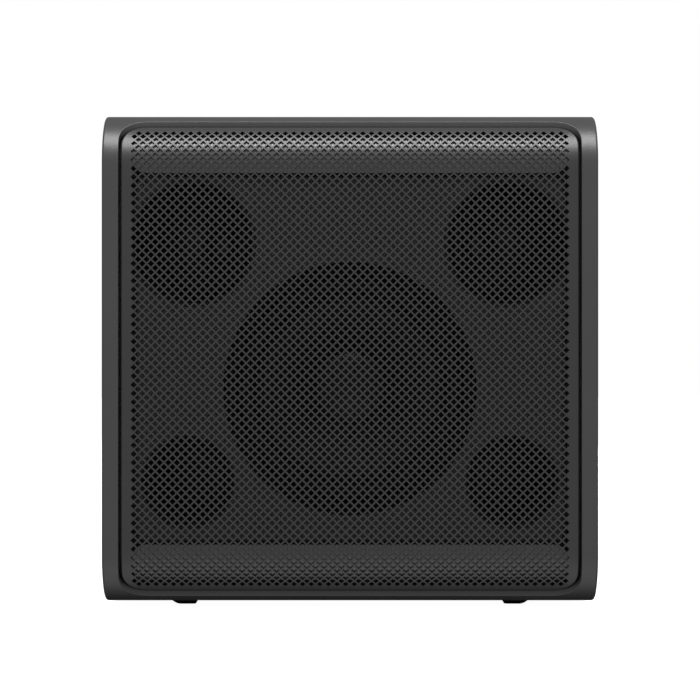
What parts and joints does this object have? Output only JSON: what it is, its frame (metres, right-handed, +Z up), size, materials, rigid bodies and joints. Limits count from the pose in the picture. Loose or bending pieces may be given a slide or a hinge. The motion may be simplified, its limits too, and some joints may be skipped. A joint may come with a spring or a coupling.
{
  "type": "subwoofer",
  "caption": "Upright box loudspeaker with rolled front edges, a full-width perforated grille, a woofer between reflex ports, two angled mid drivers and a recessed rear amplifier plate.",
  "frame": {"origin": "on the floor under the cabinet: mid-width, mid-depth, at the underside of the feet", "axes": "+Z up, front grille faces -Y, +X to the right of a person who looks at the front"},
  "size_m": [0.3, 0.22, 0.302],
  "materials": {
    "cabinet": "fine satin texture",
    "grille": "satin powder coat",
    "baffle": "matte",
    "mid_can": "matte",
    "rubber": "matte",
    "spider": "woven and waxed",
    "cone": "satin",
    "basket": "satin",
    "motor": "plated and ground",
    "coil": "satin",
    "amp_panel": "black anodised",
    "control": "satin",
    "electronics": "satin",
    "contact": "plated",
    "fastener": "blackened",
    "indicator": "translucent"
  },
  "bodies": {
    "cabinet": {"amp_board": "electronics", "amp_plate": "amp_panel", "amp_plate_screws": "fastener", "baffle": "baffle", "baffle_screws": "fastener", "board_standoffs": "fastener", "capacitors": "coil", "feet": "rubber", "front_shell": "cabinet", "grille": "grille", "grille_nuts": "fastener", "heat_sink": "amp_panel", "inlet_pins": "contact", "input_jacks": "contact", "left_mid_basket": "basket", "left_mid_can": "mid_can", "left_mid_motor": "motor", "left_mid_suspension": "rubber", "left_pod": "baffle", "left_port": "baffle", "lower_grille_bar": "cabinet", "mains_inlet": "control", "phase_switch_body": "electronics", "potentiometers": "electronics", "power_led": "indicator", "power_switch_housing": "control", "rear_shell": "cabinet", "right_mid_basket": "basket", "right_mid_can": "mid_can", "right_mid_motor": "motor", "right_mid_suspension": "rubber", "right_pod": "baffle", "right_port": "baffle", "shell_screws": "fastener", "shell_seal": "rubber", "speaker_leads": "electronics", "transformer": "motor", "upper_grille_bar": "cabinet", "woofer_basket": "basket", "woofer_gasket": "rubber", "woofer_magnet": "motor", "woofer_screws": "fastener", "woofer_spider": "spider", "woofer_surround": "rubber", "woofer_top_plate": "motor", "woofer_yoke": "motor"},
    "woofer_moving": {"woofer_cone": "cone", "woofer_dust_cap": "cone", "woofer_coil_former": "coil", "woofer_coil_winding": "coil"},
    "left_mid_moving": {"left_mid_cone": "cone", "left_mid_dust_cap": "cone", "left_mid_coil": "coil"},
    "right_mid_moving": {"right_mid_cone": "cone", "right_mid_dust_cap": "cone", "right_mid_coil": "coil"},
    "level_control": {"level_knob": "control"},
    "crossover_control": {"crossover_knob": "control"},
    "power_switch": {"power_rocker": "control"},
    "phase_switch": {"phase_switch_lever": "control"}
  },
  "joints": [
    {"name": "woofer_excursion", "type": "slide", "parent": "cabinet", "child": "woofer_moving", "axis": [0, 1, 0], "range_m": [-0.006, 0.006], "stiffness_N_per_m": 2000, "deforming": ["woofer_surround", "woofer_spider"]},
    {"name": "left_mid_excursion", "type": "slide", "parent": "cabinet", "child": "left_mid_moving", "axis": [0.5736, 0.8192, 0], "range_m": [-0.002, 0.002], "stiffness_N_per_m": 1000, "deforming": ["left_mid_suspension"]},
    {"name": "right_mid_excursion", "type": "slide", "parent": "cabinet", "child": "right_mid_moving", "axis": [-0.5736, 0.8192, 0], "range_m": [-0.002, 0.002], "stiffness_N_per_m": 1000, "deforming": ["right_mid_suspension"]},
    {"name": "level_turn", "type": "hinge", "parent": "cabinet", "child": "level_control", "pos_m": [0.078, 0.098, 0.185], "axis": [0, 1, 0], "range_deg": [-150, 150]},
    {"name": "crossover_turn", "type": "hinge", "parent": "cabinet", "child": "crossover_control", "pos_m": [0.044, 0.098, 0.185], "axis": [0, 1, 0], "range_deg": [-150, 150]},
    {"name": "power_rock", "type": "hinge", "parent": "cabinet", "child": "power_switch", "pos_m": [-0.026, 0.0975, 0.079], "axis": [1, 0, 0], "range_deg": [0, 14]},
    {"name": "phase_slide", "type": "slide", "parent": "cabinet", "child": "phase_switch", "axis": [1, 0, 0], "range_m": [0, 0.0034]}
  ]
}
